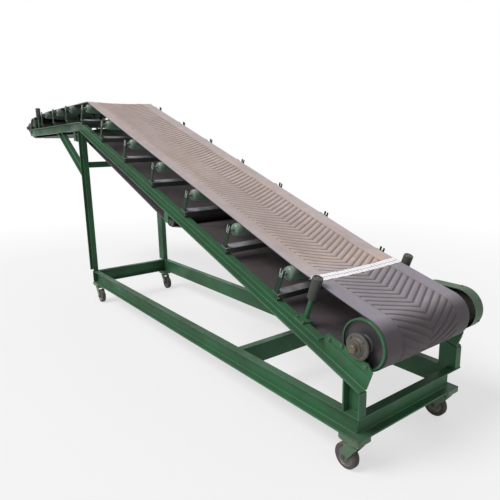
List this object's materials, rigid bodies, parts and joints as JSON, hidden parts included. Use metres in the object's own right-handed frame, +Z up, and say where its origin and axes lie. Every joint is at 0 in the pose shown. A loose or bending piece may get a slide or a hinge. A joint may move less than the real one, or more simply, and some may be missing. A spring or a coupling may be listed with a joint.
{
  "type": "mobile belt conveyor",
  "caption": "Mobile belt conveyor: an inclined and a level length of belt on a channel frame with idler sets, end drums and a chain drive, on a base with swivel castors.",
  "frame": {"origin": "on the floor under the middle of the outer box", "axes": "+X towards the low feed end, +Y towards the chain drive side, +Z up"},
  "size_m": [5.7254, 0.905, 2.014],
  "materials": {
    "frame_paint": "satin",
    "idler_paint": "satin",
    "belt_rubber": "matte",
    "drum_steel": "satin",
    "bearing_iron": "satin",
    "guard_paint": "satin",
    "motor_paint": "satin",
    "chain_steel": "oiled",
    "castor_steel": "satin",
    "castor_tyre": "matte"
  },
  "bodies": {
    "chassis": {"side_rail_near": "frame_paint", "side_rail_far": "frame_paint", "end_rail_low": "frame_paint", "end_rail_high": "frame_paint", "cross_rail": "frame_paint", "post_low_near": "frame_paint", "post_low_far": "frame_paint", "post_high_near": "frame_paint", "post_high_far": "frame_paint", "post_tie": "frame_paint", "stringer_near": "frame_paint", "stringer_far": "frame_paint", "brace_near": "frame_paint", "brace_far": "frame_paint", "tail_plates": "frame_paint", "head_plates": "frame_paint", "return_plates": "frame_paint", "guide_stems": "frame_paint", "guide_rollers": "frame_paint", "motor_plate": "frame_paint", "idler_angles": "idler_paint", "idler_brackets": "idler_paint", "centre_rollers": "idler_paint", "wing_rollers_near": "idler_paint", "wing_rollers_far": "idler_paint", "return_rollers": "idler_paint", "belt": "belt_rubber", "tail_drum": "drum_steel", "head_drum": "drum_steel", "bend_pulley": "drum_steel", "drum_bearings": "bearing_iron", "chain_guard": "guard_paint", "motor": "motor_paint", "drum_sprocket": "chain_steel", "drive_chain": "chain_steel", "castor_mounts": "castor_steel"},
    "fork_low_near": {"fork_low_near": "castor_steel"},
    "fork_low_far": {"fork_low_far": "castor_steel"},
    "fork_high_near": {"fork_high_near": "castor_steel"},
    "fork_high_far": {"fork_high_far": "castor_steel"},
    "wheel_low_near": {"wheel_low_near": "castor_tyre"},
    "wheel_low_far": {"wheel_low_far": "castor_tyre"},
    "wheel_high_near": {"wheel_high_near": "castor_tyre"},
    "wheel_high_far": {"wheel_high_far": "castor_tyre"}
  },
  "joints": [
    {"name": "swivel_low_near", "type": "hinge", "parent": "chassis", "child": "fork_low_near", "pos_m": [2.7245, -0.402, 0.1], "axis": [0, 0, 1], "continuous": true},
    {"name": "roll_low_near", "type": "hinge", "parent": "fork_low_near", "child": "wheel_low_near", "pos_m": [2.6825, -0.402, 0.065], "axis": [0, 1, 0], "continuous": true},
    {"name": "swivel_low_far", "type": "hinge", "parent": "chassis", "child": "fork_low_far", "pos_m": [2.7245, 0.332, 0.1], "axis": [0, 0, 1], "continuous": true},
    {"name": "roll_low_far", "type": "hinge", "parent": "fork_low_far", "child": "wheel_low_far", "pos_m": [2.6825, 0.332, 0.065], "axis": [0, 1, 0], "continuous": true},
    {"name": "swivel_high_near", "type": "hinge", "parent": "chassis", "child": "fork_high_near", "pos_m": [-0.6335, -0.402, 0.1], "axis": [0, 0, 1], "continuous": true},
    {"name": "roll_high_near", "type": "hinge", "parent": "fork_high_near", "child": "wheel_high_near", "pos_m": [-0.5915, -0.402, 0.065], "axis": [0, 1, 0], "continuous": true},
    {"name": "swivel_high_far", "type": "hinge", "parent": "chassis", "child": "fork_high_far", "pos_m": [-0.6335, 0.332, 0.1], "axis": [0, 0, 1], "continuous": true},
    {"name": "roll_high_far", "type": "hinge", "parent": "fork_high_far", "child": "wheel_high_far", "pos_m": [-0.5915, 0.332, 0.065], "axis": [0, 1, 0], "continuous": true}
  ]
}
